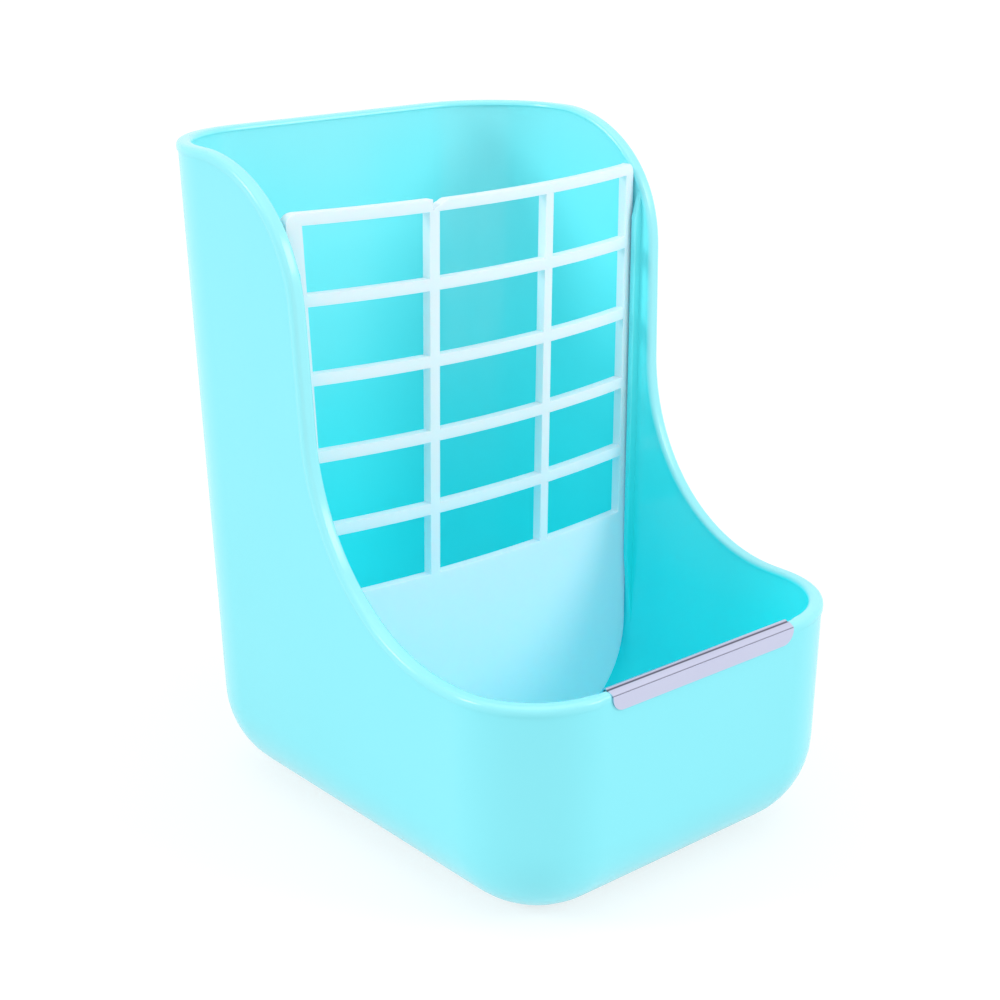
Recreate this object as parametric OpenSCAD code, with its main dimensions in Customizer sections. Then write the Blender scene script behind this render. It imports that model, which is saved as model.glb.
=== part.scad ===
// Hay feeder box: a hay rack behind a lift-out grid, over a food bowl, for a small animal's cage.
// Millimetres. Z is up, the bowl is at -Y, and the origin is the middle of the footprint on the ground.

/* [Box] */
// Height at the back wall
box_h = 180; // [160:1:210]
// Outside width of the side walls, carried down to the ground
foot_w = 115; // [105:1:140]
// Outside depth of the end walls, carried down to the ground
foot_d = 149; // [135:1:180]
// Lean of each side wall, in degrees
side_draft = 1.6; // [0.5:0.1:3]
// Lean of the front and back walls, in degrees
end_draft = 0.5; // [0:0.1:2]
// Thickness of the walls
wall = 3.2; // [2.4:0.1:3.8]
// Thickness of the floor
floor_t = 3.6; // [2.4:0.1:6]
// Corner radius at the back, in plan
back_r = 30; // [26:1:36]
// Corner radius at the front, in plan
front_r = 26; // [26:1:34]
// Outside radius between the walls and the floor
foot_r = 25; // [15:1:25]
// Width of the rounded lip along the rim
lip_w = 4; // [4:0.1:6]

/* [Side profile] */
// Height of the front rim, over the bowl
bowl_h = 64; // [52:1:76]
// Distance of the neck's middle behind the box's middle
neck_y = 5.2; // [0:0.1:10]
// Height of the neck's middle
neck_z = 129; // [122:1:136]
// Length of the neck's straight stretch
neck_l = 30; // [16:1:34]
// Forward lean of the neck towards its foot, in degrees
neck_lean = 2.1; // [0:0.1:6]
// Level stretch of rim between the back corner and the shoulder
shoulder_flat = 1; // [0.5:0.5:6]
// Reach of the shoulder's curve along the top
shoulder_pull = 17; // [8:1:24]
// Reach of the shoulder's curve up from the neck
shoulder_rise = 25; // [12:1:28]
// Reach of the sweep's curve down from the neck
sweep_drop = 27; // [14:1:30]
// Reach of the sweep's curve back from the bowl
sweep_pull = 28; // [14:1:32]
// Level stretch of rim between the sweep and the front corner
bowl_flat = 4.5; // [1:0.5:10]

/* [Hay grid] */
// Place of the grid's edges behind the box's middle, at the foot
grid_y = 10.8; // [8:0.1:14]
// Backward lean of the grid towards its top, in degrees
grid_lean = 1.4; // [0:0.1:3]
// Height of the grid's top edge
grid_top = 167.3; // [156:0.1:172]
// Thickness of the grid
grid_t = 3; // [2:0.1:4]
// Forward bow of the grid's middle along its top edge
grid_bow = 10; // [4:0.5:12]
// Forward bow of the grid's middle along its lower edge
grid_foot_bow = 1.5; // [0.5:0.5:3]
// Windows side by side
columns = 3; // [2:1:5]
// Windows one above another
rows = 5; // [3:1:6]
// Height of the plain sheet below the windows
sheet_top = 66.4; // [56:0.2:76]
// Width of the upright bars between the windows
bar_w = 2.9; // [2:0.1:5]
// Height of the level bars between the windows
bar_h = 3.1; // [2.6:0.1:5]
// Width of the grid's side borders
border_w = 3.8; // [3.4:0.1:7]
// Spacing of the upright bars, as a share of an even spacing
bar_spread = 1.08; // [0.9:0.01:1.15]
// Radius of the grid's lower corners
grid_corner_r = 28; // [26:1:34]
// Radius of the grid's upper corners
grid_top_r = 3; // [1:0.5:6]
// Width of the notch in the top rail
notch_w = 2; // [1:0.1:4]
// Depth of the notch in the top rail
notch_d = 1.8; // [0.5:0.1:2.2]

/* [Guide ribs] */
// Thickness of each rib, front to back
rib_t = 1.8; // [1:0.1:3]
// Reach of each rib from the wall
rib_reach = 2.2; // [1.6:0.1:4]
// Drop of each rib's top below the rim
rib_drop = 3; // [3:0.5:10]
// Gap beside and before the grid's edge
grid_gap = 0.4; // [0.3:0.05:0.8]
// Height of the grid's lower edge over the floor
grid_seat = 0.3; // [0.2:0.05:0.5]

/* [Edge guard] */
// Thickness of the metal strip
guard_t = 0.5; // [0.4:0.1:1]
// Height of the strip's front flange, with its bend
guard_front_h = 5.5; // [5:0.5:12]
// Height of the strip's inner flange, with its bend
guard_inner_h = 4.5; // [4:0.5:12]
// Distance that each end stops short of the front corner's curve
guard_set_in = 1.8; // [0.1:0.1:10]
// Inner radius of the strip's two bends
guard_bend_r = 0.6; // [0.3:0.1:0.8]
// Radius of the flanges' lower corners
guard_corner_r = 3.5; // [1:0.5:4]
// Gap between the strip and the rim
guard_gap = 0.1; // [0.05:0.05:0.3]

/* [Cage fixings] */
// Distance between the two studs
stud_spacing = 50; // [40:1:70]
// Height of the studs
stud_z = 140; // [100:1:155]
// Diameter of the studs
stud_d = 5; // [4:0.5:6]
// Length of the studs behind their bosses
stud_free = 22; // [20.5:0.5:34]
// Chamfer at the studs' ends
stud_chamfer = 0.8; // [0.4:0.1:1.5]
// Clearance of the studs in their bosses
stud_clear = 0.05; // [0.02:0.01:0.1]
// Diameter of the bosses that hold the studs
boss_d = 16; // [12:1:24]
// Height of the bosses over the back wall
boss_h = 2.5; // [2:0.5:6]
// Skin left between the studs and the hay
boss_skin = 1.6; // [1:0.1:2.4]
// Gap between the bosses and the clamp discs, for the cage's wires
clamp_gap = 5; // [4.5:0.5:7]
// Diameter of the clamp discs
disc_d = 26; // [22:1:40]
// Thickness of the clamp discs
disc_t = 3; // [2:0.5:4]
// Depth of the ring-shaped recess in the clamp discs
disc_recess = 0.8; // [0.4:0.1:0.9]
// Width of the clamp discs' gripping rim, and of the land round the bore
disc_land = 2.5; // [1.5:0.5:3.5]
// Clearance of the clamp discs round the studs
disc_clear = 0.3; // [0.2:0.05:0.6]
// Diameter of the wing nuts at their foot
nut_d = 11; // [9:0.5:14]
// Narrowing of the wing nuts towards the top, on the diameter
nut_taper = 2; // [0:0.5:2]
// Height of the wing nuts' bodies
nut_h = 6.5; // [5:0.5:7]
// Span over the two wings
wing_span = 26; // [24:1:32]
// Height of the wings over the nut's foot
wing_h = 13; // [11:0.5:16]
// Radius of the wings' round ends
wing_r = 4; // [3:0.5:5]
// Thickness of the wings
wing_t = 2; // [1.4:0.1:3]
// Gap between each wing nut and its disc
nut_gap = 0.1; // [0.05:0.05:0.3]
// Clearance of the wing nuts round the studs
nut_clear = 0.15; // [0.1:0.05:0.3]

/* [Hidden] */
$fn = 64;

aqua = "#7fe9f7";
pale = "#e6f6ff";
steel = "#c9c9d6";
white = "#f2f4f5";

// What a cut runs past the face that it opens
past = 1;

// Steps in a plan corner, in the foot's round, over the lip and in each curve of the side profile
corner_n = 9;
foot_n = 6;
lip_n = 8;
curve_n = 12;

// Steps across and up the grid's bowed sheet
across_n = 20;
rise_n = 6;

function mix(a, b, share) = a + (b - a) * share;
function unit(v) = v / norm(v);
function bezier(p, t) =
    pow(1 - t, 3) * p[0] + 3 * t * pow(1 - t, 2) * p[1] + 3 * t * t * (1 - t) * p[2] + pow(t, 3) * p[3];
function bezier_slope(p, t) =
    pow(1 - t, 2) * (p[1] - p[0]) + 2 * t * (1 - t) * (p[2] - p[1]) + t * t * (p[3] - p[2]);

// Half the outside width and depth at a height, and the ends of a side wall between the plan corners
function half_w(z) = foot_w / 2 + z * tan(side_draft);
function half_d(z) = foot_d / 2 + z * tan(end_draft);
function back_end(z) = half_d(z) - back_r;
function front_end(z) = front_r - half_d(z);

// The side profile, as [y, z]: the shoulder falls to the neck, and the sweep runs out over the bowl
neck_up = [sin(neck_lean), cos(neck_lean)];
neck_top = [neck_y, neck_z] + neck_l / 2 * neck_up;
neck_foot = [neck_y, neck_z] - neck_l / 2 * neck_up;
shoulder_end = [back_end(box_h) - shoulder_flat, box_h];
sweep_end = [front_end(bowl_h) + bowl_flat, bowl_h];
shoulder = [shoulder_end, shoulder_end - [shoulder_pull, 0], neck_top + shoulder_rise * neck_up, neck_top];
sweep = [neck_foot, neck_foot - sweep_drop * neck_up, sweep_end + [sweep_pull, 0], sweep_end];

// Each step holds its point, the way that faces out of the rim, and the depth at which it stands on the foot
function profile_step(curve, t, stand_y) =
    let (along = unit(bezier_slope(curve, t))) [bezier(curve, t), [along[1], -along[0]], stand_y];
neck_stand = neck_top[0] + neck_l / 3;
profile = concat(
    [for (i = [0:curve_n]) profile_step(shoulder, i / curve_n, mix(shoulder_end[0], neck_stand, i / curve_n))],
    [for (i = [0:curve_n]) profile_step(sweep, i / curve_n, mix(neck_foot[0], sweep_end[0], i / curve_n))]);

// Height of the rim over a depth
function rim_z(y) = lookup(y, [for (step = profile) step[0]]);

// The stations round the box, clockwise from the middle of the back. A corner's station holds its side, end,
// radius, angle and rim height, and a side wall's station holds its side and its step of the profile
function corner_stations(side, end, r, angle, rim) =
    [for (k = [0:corner_n]) [true, side, end, r, angle - 90 * k / corner_n, rim]];
stations = concat(
    corner_stations(1, 1, back_r, 90, box_h),
    [for (step = profile) [false, 1, step]],
    corner_stations(1, -1, front_r, 0, bowl_h),
    corner_stations(-1, -1, front_r, -90, bowl_h),
    [for (i = [len(profile) - 1:-1:0]) [false, -1, profile[i]]],
    corner_stations(-1, 1, back_r, 180, box_h));

// A point of the wall at a height, inset from the outside
function corner_point(s, z, inset) =
    [s[1] * (half_w(z) - s[3]) + (s[3] - inset) * cos(s[4]),
     s[2] * (half_d(z) - s[3]) + (s[3] - inset) * sin(s[4]),
     z];
function side_point(side, y, z, inset) = [side * (half_w(z) - inset), y, z];

// The same at a station: down at the foot, and at an angle over the lip
lip_r = lip_w / 2;
lip_start = acos(wall / lip_w);
function stand_share(y) = (y - front_end(bowl_h)) / (back_end(box_h) - front_end(bowl_h));
function foot_point(s, z, inset) =
    s[0] ? corner_point(s, z, inset)
         : side_point(s[1], mix(front_end(z), back_end(z), stand_share(s[2][2])), z, inset);
function lip_point(s, turn) =
    let (drop = lip_r * (1 - sin(turn)), inset = wall / 2 - lip_r * cos(turn))
    s[0] ? corner_point(s, s[5] - drop, inset)
         : let (p = s[2][0] - drop * s[2][1]) side_point(s[1], p[0], p[1], inset);

// The shell's rings: up the outside, over the lip, and down the inside to the floor
function foot_ring(turn, base_z, r, inset) =
    [for (s = stations) foot_point(s, base_z + r * (1 - cos(turn)), inset + r * (1 - sin(turn)))];
function lip_ring(turn) = [for (s = stations) lip_point(s, turn)];
shell_rings = concat(
    [for (k = [0:foot_n]) foot_ring(90 * k / foot_n, 0, foot_r, 0)],
    [for (k = [0:lip_n]) lip_ring(mix(-lip_start, 180 + lip_start, k / lip_n))],
    [for (k = [foot_n:-1:0]) foot_ring(90 * k / foot_n, floor_t, foot_r - wall, wall)]);

// A solid through rings of points that run clockwise seen from above, from the lowest or outer ring to the last
module loft(rings) {
    n = len(rings[0]);
    top = (len(rings) - 1) * n;
    polyhedron(
        points = [for (ring = rings) each ring],
        faces = concat(
            [[for (i = [n - 1:-1:0]) i]],
            [[for (i = [0:n - 1]) top + i]],
            [for (r = [0:len(rings) - 2], i = [0:n - 1], half = [0, 1])
                let (a = r * n + i, b = r * n + (i + 1) % n)
                half == 0 ? [a, b, b + n] : [a, b + n, a + n]]));
}

// The grid's own frame: at the middle of its lower edge, and leaning back
grid_foot_z = floor_t + grid_seat;
grid_h = (grid_top - grid_foot_z) / cos(grid_lean);
module in_grid_frame() {
    translate([0, grid_y, grid_foot_z])
        rotate([-grid_lean, 0, 0])
            children();
}

// Half the grid's width at a height in its own frame, clear of the lip
lip_inset = wall / 2 + lip_r;
function grid_half_w(v) = half_w(grid_foot_z + v * cos(grid_lean)) - lip_inset - grid_gap;
grid_taper = atan((grid_half_w(grid_h) - grid_half_w(0)) / grid_h);

// The slot between two ribs holds the grid's straight edge, with room in front for the sheet's bow
rib_foot_z = foot_r + floor_t;
edge_slope = atan(2 * grid_bow / grid_half_w(grid_h));
slot_back = grid_t / 2 + grid_gap;
slot_front = -slot_back - rib_reach * tan(edge_slope);

module guide_rib(side, y) {
    rib_top_z = rim_z(grid_y + y + (grid_top - grid_foot_z) * sin(grid_lean)) - rib_drop;
    outline = [[rib_foot_z, wall / 2], [rib_top_z, wall / 2], [rib_top_z, wall + rib_reach],
               [rib_foot_z + rib_reach, wall + rib_reach], [rib_foot_z, wall]];
    in_grid_frame()
        translate([0, y + rib_t / 2, -grid_foot_z])
            rotate([90, 0, 0])
                linear_extrude(rib_t)
                    polygon([for (p = outline) [side * (half_w(p[0]) - p[1]), p[0]]]);
}

// Along +Y from the face of a boss on the back wall
module at_stud(side, y) {
    translate([side * stud_spacing / 2, half_d(stud_z) + boss_h + y, stud_z])
        rotate([-90, 0, 0])
            children();
}
stud_seat = boss_h + wall - boss_skin;

module feeder_box() {
    color(aqua)
        difference() {
            union() {
                loft(shell_rings);
                for (side = [-1, 1]) {
                    guide_rib(side, slot_front - rib_t / 2);
                    guide_rib(side, slot_back + rib_t / 2);
                    at_stud(side, -boss_h - wall / 2)
                        cylinder(d = boss_d, h = boss_h + wall / 2);
                }
            }
            for (side = [-1, 1])
                at_stud(side, -stud_seat)
                    cylinder(d = stud_d + 2 * stud_clear, h = stud_seat + past);
        }
}

// The right half of the grid's outline, with rounds between the tapered side and the two level edges
function arc(centre, r, from, to, steps) =
    [for (k = [0:steps]) centre + r * [cos(mix(from, to, k / steps)), sin(mix(from, to, k / steps))]];
function corner_centre(v, r) = [grid_half_w(0) + v * tan(grid_taper) - r / cos(grid_taper), v];
grid_side = concat(
    arc(corner_centre(grid_corner_r, grid_corner_r), grid_corner_r, -90, -grid_taper, corner_n * 2),
    arc(corner_centre(grid_h - grid_top_r, grid_top_r), grid_top_r, -grid_taper, 90, corner_n));

// The windows: the bars between them stand upright, and the side borders follow the grid's taper
window_pitch = (grid_top - sheet_top) / rows / cos(grid_lean);
sheet_v = (sheet_top - grid_foot_z) / cos(grid_lean);
bar_pitch = bar_spread * 2 * grid_half_w(0) / columns;
function bar_x(i) = (i - columns / 2) * bar_pitch;
function window_start(c, v) = c == 0 ? border_w - grid_half_w(v) : bar_x(c) + bar_w / 2;
function window_end(c, v) = c == columns - 1 ? grid_half_w(v) - border_w : bar_x(c + 1) - bar_w / 2;
module window(c, r) {
    low = sheet_v + r * window_pitch;
    high = low + window_pitch - bar_h;
    polygon([[window_start(c, low), low], [window_end(c, low), low],
             [window_end(c, high), high], [window_start(c, high), high]]);
}

module grid_outline() {
    notch_x = window_start(1, grid_h);
    difference() {
        polygon(concat(grid_side, [for (i = [len(grid_side) - 1:-1:0]) [-grid_side[i][0], grid_side[i][1]]]));
        for (c = [0:columns - 1], r = [0:rows - 1])
            window(c, r);
        polygon([[notch_x - notch_w, grid_h + past], [notch_x - notch_w, grid_h],
                 [notch_x - notch_w / 2, grid_h - notch_d], [notch_x, grid_h], [notch_x, grid_h + past]]);
    }
}

// The bowed sheet: straight at its edges, with a bow that grows from its foot to its top
sheet_reach = 1 + past / grid_half_w(0);
function sheet_point(share, v, offset) =
    [share * grid_half_w(v), mix(grid_foot_bow, grid_bow, v / grid_h) * (share * share - 1) + offset, v];
function sheet_row(v, offset, from, to) =
    [for (i = [0:across_n]) sheet_point(mix(from, to, i / across_n), v, offset)];
sheet_rings =
    [for (k = [0:rise_n])
        let (v = mix(-past, grid_h + past, k / rise_n))
        concat(sheet_row(v, grid_t / 2, -sheet_reach, sheet_reach),
               sheet_row(v, -grid_t / 2, sheet_reach, -sheet_reach))];

module hay_grid() {
    color(pale)
        in_grid_frame()
            intersection() {
                loft(sheet_rings);
                translate([0, grid_t, 0])
                    rotate([90, 0, 0])
                        linear_extrude(grid_bow + 2 * grid_t)
                            grid_outline();
            }
}

// The guard's frame: at the middle of the lip's round, along the leaning front wall
module in_guard_frame() {
    lip_z = bowl_h - lip_r;
    translate([0, wall / 2 - half_d(lip_z), lip_z])
        rotate([end_draft, 0, 0])
            children();
}

// An upright bar with a rounded top, as [depth, height]
module arch(half, top, r, bottom) {
    translate([-half, bottom])
        square([2 * half, top - r - bottom]);
    translate([r - half, bottom])
        square([2 * (half - r), top - bottom]);
    for (side = [-1, 1])
        translate([side * (half - r), top - r])
            circle(r);
}

module edge_guard() {
    inside = lip_r + guard_gap;
    outside = inside + guard_t;
    half_l = half_w(bowl_h) - front_r - guard_set_in;
    low = outside - guard_front_h;
    color(steel)
        in_guard_frame()
            intersection() {
                translate([-half_l, 0, 0])
                    rotate([90, 0, 90])
                        linear_extrude(2 * half_l)
                            difference() {
                                arch(outside, outside, guard_bend_r + guard_t, low);
                                arch(inside, inside, guard_bend_r, low - past);
                                translate([0, low - past])
                                    square([outside + past, guard_front_h - guard_inner_h + past]);
                            }
                translate([0, outside + past, 0])
                    rotate([90, 0, 0])
                        linear_extrude(2 * (outside + past))
                            mirror([0, 1])
                                arch(half_l, -low, guard_corner_r, -outside);
            }
}

module stud(side) {
    r = stud_d / 2;
    color(steel)
        at_stud(side, -stud_seat)
            rotate_extrude()
                polygon([[0, 0], [r, 0], [r, stud_seat + stud_free - stud_chamfer],
                         [r - stud_chamfer, stud_seat + stud_free], [0, stud_seat + stud_free]]);
}

module clamp_disc(side) {
    bore = stud_d / 2 + disc_clear;
    rim = disc_d / 2;
    color(white)
        at_stud(side, clamp_gap)
            rotate_extrude()
                polygon([[bore, 0], [bore + disc_land, 0], [bore + disc_land, disc_recess],
                         [rim - disc_land, disc_recess], [rim - disc_land, 0], [rim, 0],
                         [rim, disc_t - disc_recess], [rim - disc_recess, disc_t], [bore, disc_t]]);
}

// Where a line from a point touches a circle, on one side
function touch_point(from, centre, r, side) =
    let (v = from - centre, angle = atan2(v[1], v[0]) + side * acos(r / norm(v)))
    centre + r * [cos(angle), sin(angle)];

module wing() {
    foot = [nut_d / 4, wing_t / 2];
    head = [nut_d / 4, nut_h - wing_t / 2];
    end = [wing_span / 2 - wing_r, wing_h - wing_r];
    polygon([foot, touch_point(foot, end, wing_r, 1), end, touch_point(head, end, wing_r, -1), head]);
    translate(end)
        circle(wing_r);
}

module wing_nut(side) {
    bore = stud_d / 2 + nut_clear;
    color(steel)
        at_stud(side, clamp_gap + disc_t + nut_gap)
            difference() {
                union() {
                    cylinder(d1 = nut_d, d2 = nut_d - nut_taper, h = nut_h);
                    for (turn = [90, 270])
                        rotate(turn)
                            translate([0, wing_t / 2, 0])
                                rotate([90, 0, 0])
                                    linear_extrude(wing_t)
                                        wing();
                }
                translate([0, 0, -past])
                    cylinder(r = bore, h = wing_h + 2 * past);
            }
}

feeder_box();
hay_grid();
edge_guard();
stud(-1);  // left_stud
stud(1);  // right_stud
clamp_disc(-1);  // left_clamp_disc
clamp_disc(1);  // right_clamp_disc
wing_nut(-1);  // left_wing_nut
wing_nut(1);  // right_wing_nut
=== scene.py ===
# %% [markdown]
# # A hay feeder box for a small animal's cage
# The feeder is one glossy aqua tub: tall at the back, where hay is stuffed in behind a milky grid, and low at
# the front, where it is a food bowl. A folded metal strip guards the bowl's rim against teeth, and two
# threaded studs with discs and wing nuts hold the tub to the cage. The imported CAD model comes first, and
# gives every place.

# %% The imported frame
import math

import bmesh
import bpy
from mathutils import Matrix, Vector


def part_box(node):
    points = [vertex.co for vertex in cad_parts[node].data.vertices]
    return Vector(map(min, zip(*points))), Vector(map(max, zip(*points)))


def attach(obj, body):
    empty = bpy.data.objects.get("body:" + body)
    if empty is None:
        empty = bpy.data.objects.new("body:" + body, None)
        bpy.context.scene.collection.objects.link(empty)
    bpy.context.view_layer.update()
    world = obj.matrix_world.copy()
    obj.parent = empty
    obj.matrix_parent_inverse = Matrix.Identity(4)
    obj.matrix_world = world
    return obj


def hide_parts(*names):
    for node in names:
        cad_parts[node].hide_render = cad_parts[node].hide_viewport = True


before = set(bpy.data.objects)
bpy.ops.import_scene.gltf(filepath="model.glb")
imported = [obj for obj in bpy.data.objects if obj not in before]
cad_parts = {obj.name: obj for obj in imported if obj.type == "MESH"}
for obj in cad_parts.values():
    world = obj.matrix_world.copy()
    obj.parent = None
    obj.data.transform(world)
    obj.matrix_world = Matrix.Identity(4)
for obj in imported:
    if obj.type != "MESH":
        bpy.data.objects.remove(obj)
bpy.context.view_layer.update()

MM = 0.001
print("CAD nodes:", ", ".join(sorted(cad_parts)))

# %% [markdown]
# ## Working as by hand
# An operator acts on all that is selected, so each step starts with nothing selected. These helpers leave
# edit mode, name a new primitive, pick faces, edges or points by their place, and apply a modifier. A
# finished piece keeps its place in its mesh, so that its object stays at the origin and patterns on Object
# coordinates don't slide.

# %% Helpers for objects
def begin(*pieces):
    """Leaves edit mode, and selects these pieces and nothing else."""
    if bpy.context.mode != "OBJECT":
        bpy.ops.object.mode_set(mode="OBJECT")
    bpy.ops.object.select_all(action="DESELECT")
    for piece in pieces:
        piece.select_set(True)
        bpy.context.view_layer.objects.active = piece


def settle(piece, location=(0, 0, 0), turn=(0, 0, 0)):
    """Turns and moves a piece, then keeps its place in its mesh."""
    begin(piece)
    piece.rotation_euler = Vector(turn) + Vector(piece.rotation_euler)
    piece.location = Vector(location) + piece.location
    bpy.ops.object.transform_apply(location=True, rotation=True, scale=True)
    return piece


def take(name):
    """Names the new primitive, and puts its size and place into its mesh."""
    piece = bpy.context.view_layer.objects.active
    piece.name = piece.data.name = name
    return settle(piece)


# %% Helpers for edit mode
def edit(piece):
    begin(piece)
    bpy.ops.object.mode_set(mode="EDIT")


def pick(piece, kind, wanted):
    """In edit mode, selects the faces, edges or points that are wanted, and tells how many there are."""
    bpy.ops.mesh.select_mode(type=kind)
    bpy.ops.mesh.select_all(action="DESELECT")
    mesh = bmesh.from_edit_mesh(piece.data)
    parts = {"VERT": mesh.verts, "EDGE": mesh.edges, "FACE": mesh.faces}[kind]
    chosen = [part for part in parts if wanted(part)]
    for part in chosen:
        part.select_set(True)
    mesh.select_flush_mode()
    bmesh.update_edit_mesh(piece.data)
    return len(chosen)


def middle(part):
    """The middle of a face, an edge or a point."""
    if isinstance(part, bmesh.types.BMVert):
        return part.co
    return sum((v.co for v in part.verts), Vector()) / len(part.verts)


def near(a, b, reach=0.02 * MM):
    return abs(a - b) < reach


# %% Helpers that finish a piece
def apply_modifier(piece, kind, **settings):
    modifier = piece.modifiers.new(kind.title(), kind)
    for name, value in settings.items():
        setattr(modifier, name, value)
    begin(piece)
    bpy.ops.object.modifier_apply(modifier=modifier.name)


def smooth(piece, angle=40):
    """Smooth shading, in which the large flat faces stay flat and the small rounds take the turn."""
    begin(piece)
    bpy.ops.object.shade_smooth_by_angle(angle=math.radians(angle))
    apply_modifier(piece, "WEIGHTED_NORMAL", keep_sharp=True, weight=80)


def soften(piece, width, angle=50, segments=3):
    """A bevel along every edge that turns by more than the angle."""
    apply_modifier(piece, "BEVEL", width=width, segments=segments, limit_method="ANGLE",
                   angle_limit=math.radians(angle))


def join(piece, *others):
    begin(*others, piece)
    bpy.ops.object.join()
    return piece


def copied(piece, name, shift):
    """A copy with its own mesh, moved aside."""
    begin(piece)
    bpy.ops.object.duplicate(linked=False)
    twin = bpy.context.view_layer.objects.active
    twin.name = twin.data.name = name
    return settle(twin, shift)


# %% [markdown]
# ## The tub's sizes
# Each wall leans out a little so that the moulding leaves its tool: 1.6 degrees at the sides and half a
# degree at the ends. Every size is the CAD model's own, in metres, so the skin lies where the solid is.

# %% Walls
FOOT_W, FOOT_D, BOX_H, BOWL_H = 115 * MM, 149 * MM, 180 * MM, 64 * MM
SIDE_DRAFT, END_DRAFT = math.radians(1.6), math.radians(0.5)
BACK_R, FRONT_R, FOOT_R = 30 * MM, 26 * MM, 25 * MM
WALL, FLOOR, LIP = 3.2 * MM, 3.6 * MM, 4 * MM


def half_w(z):
    return FOOT_W / 2 + z * math.tan(SIDE_DRAFT)


def half_d(z):
    return FOOT_D / 2 + z * math.tan(END_DRAFT)


print(f"tub {2 * half_w(BOX_H) / MM:.1f} by {2 * half_d(BOX_H) / MM:.1f} millimetres at its top")

# %% [markdown]
# ## The tub's block
# The real tub is one shell. It could be lofted ring by ring, but a tapered block with its corners and foot
# rounded by bevels is quicker to draw and easier to change. The block is a little too tall, and the rim is
# cut from it next.

# %% A tapered block
SPARE_H = 6 * MM
BLANK_H = BOX_H + SPARE_H
bpy.ops.mesh.primitive_cube_add(size=1, location=(0, 0, BLANK_H / 2), scale=(FOOT_W, FOOT_D, BLANK_H))
tub = take("moulded_tub")
edit(tub)
pick(tub, "FACE", lambda face: face.normal.z > 0.9)
bpy.ops.transform.resize(value=(half_w(BLANK_H) / half_w(0), half_d(BLANK_H) / half_d(0), 1))
print(f"block {BLANK_H / MM:.0f} millimetres high, with {SPARE_H / MM:.0f} to be cut off")

# %% Round its corners and its foot
CORNER_STEPS, FOOT_STEPS = 16, 12


def upright(edge):
    return abs(edge.verts[0].co.z - edge.verts[1].co.z) > BOX_H / 2


for side, radius in ((1, BACK_R), (-1, FRONT_R)):
    pick(tub, "EDGE", lambda edge: upright(edge) and side * middle(edge).y > FOOT_D / 4)
    bpy.ops.mesh.bevel(offset=radius, segments=CORNER_STEPS, affect="EDGES")
foot_edges = pick(tub, "EDGE", lambda edge: near(edge.verts[0].co.z, 0) and near(edge.verts[1].co.z, 0))
bpy.ops.mesh.bevel(offset=FOOT_R, segments=FOOT_STEPS, affect="EDGES")
print(foot_edges, "edges rounded at the foot")

# %% [markdown]
# ## The rim's line
# Seen from the side, the rim falls from the back in a round shoulder, runs down a straight neck and sweeps
# out over the bowl. A Bezier curve with six points draws it. Made into a face and pulled through the tub's
# width, it is the block of air that a Boolean takes away. The line lies a hair low, because the lip's
# thickness is later added square to a leaning wall, which tips the lip's inner edge up by as much.

# %% The line's sizes
NECK, NECK_L, NECK_LEAN = Vector((0, 5.2, 129)) * MM, 30 * MM, math.radians(2.1)
SHOULDER_FLAT, SHOULDER_PULL, SHOULDER_RISE = 1 * MM, 17 * MM, 25 * MM
BOWL_FLAT, SWEEP_PULL, SWEEP_DROP = 4.5 * MM, 28 * MM, 27 * MM
NECK_PULL, OVERRUN, LEVEL_END = 10 * MM, 20 * MM, 60 * MM
LIP_TIP = Vector((0, 0, 0.12 * MM))
neck_up = Vector((0, math.sin(NECK_LEAN), math.cos(NECK_LEAN)))
neck_top, neck_foot = NECK + neck_up * NECK_L / 2, NECK - neck_up * NECK_L / 2
shoulder_end = Vector((0, half_d(BOX_H) - BACK_R - SHOULDER_FLAT, BOX_H))
sweep_end = Vector((0, FRONT_R - half_d(BOWL_H) + BOWL_FLAT, BOWL_H))
along = Vector((0, 1, 0))
print(f"the neck runs from {neck_foot.z / MM:.0f} to {neck_top.z / MM:.0f} millimetres up")

# %% Draw the line
CURVE_STEPS = 28

# Each point has the line's way in, itself, and the way out
rim_points = [
    (-OVERRUN * along, sweep_end - LEVEL_END * along, OVERRUN * along),
    (-OVERRUN * along, sweep_end, SWEEP_PULL * along),
    (-SWEEP_DROP * neck_up, neck_foot, NECK_PULL * neck_up),
    (-NECK_PULL * neck_up, neck_top, SHOULDER_RISE * neck_up),
    (-SHOULDER_PULL * along, shoulder_end, OVERRUN * along),
    (-OVERRUN * along, shoulder_end + LEVEL_END * along, OVERRUN * along),
]
bpy.ops.curve.primitive_bezier_curve_add(radius=1, location=(0, 0, 0))
rim_line = bpy.context.view_layer.objects.active
spline = rim_line.data.splines[0]
spline.bezier_points.add(len(rim_points) - len(spline.bezier_points))
for point, (way_in, place, way_out) in zip(spline.bezier_points, rim_points):
    point.handle_left_type = point.handle_right_type = "FREE"
    place = place - LIP_TIP
    point.co, point.handle_left, point.handle_right = place, place + way_in, place + way_out
rim_line.data.dimensions = "3D"
rim_line.data.resolution_u = CURVE_STEPS
begin(rim_line)
bpy.ops.object.convert(target="MESH")
air = take("air_over_rim")
rim_path = [v.co.copy() for v in air.data.vertices]
print(len(rim_path), "points along the rim's line")

# %% Cut the rim
def rim_height(y):
    """Height of the rim over a depth."""
    steps = zip(rim_path, rim_path[1:])
    low, high = next(step for step in steps if step[0].y <= y <= step[1].y)
    return low.z + (high.z - low.z) * (y - low.y) / (high.y - low.y)


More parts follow.
